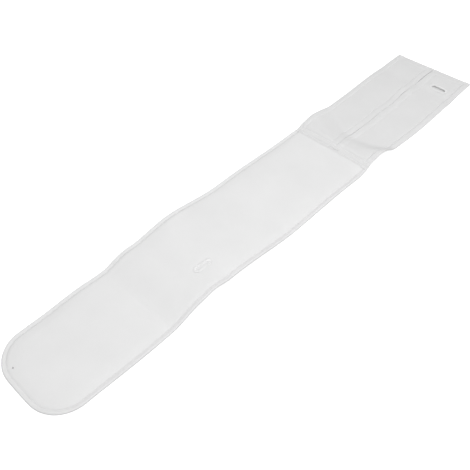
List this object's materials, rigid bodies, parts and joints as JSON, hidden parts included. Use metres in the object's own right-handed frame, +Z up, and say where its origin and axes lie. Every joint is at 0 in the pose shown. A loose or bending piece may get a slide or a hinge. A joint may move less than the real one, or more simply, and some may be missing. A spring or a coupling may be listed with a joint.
{
  "type": "rib belt",
  "caption": "White padded chest belt with a round bound toe and split hemmed closing straps, lying unfolded with soft folds.",
  "frame": {"origin": "middle of the belt's outline on the table that it lies on", "axes": "+X along the belt from the toe to the strap ends, +Y across it towards the upper strap, +Z up from the table"},
  "size_m": [1.0065, 0.1639, 0.0233],
  "materials": {
    "panel_laminate": "white brushed loop knit on foam, matt",
    "binding_tape": "white folded binding tape, matt",
    "strap_cloth": "white knitted strap cloth, a little greyer than the panel",
    "rim_thread": "white close satin stitching, slight sheen"
  },
  "bodies": {
    "root": {"body_panel": "panel_laminate", "edge_binding": "binding_tape", "strap_upper": "strap_cloth", "strap_lower": "strap_cloth", "finger_slot_rim": "rim_thread", "body_oval_rim": "rim_thread"}
  },
  "joints": []
}
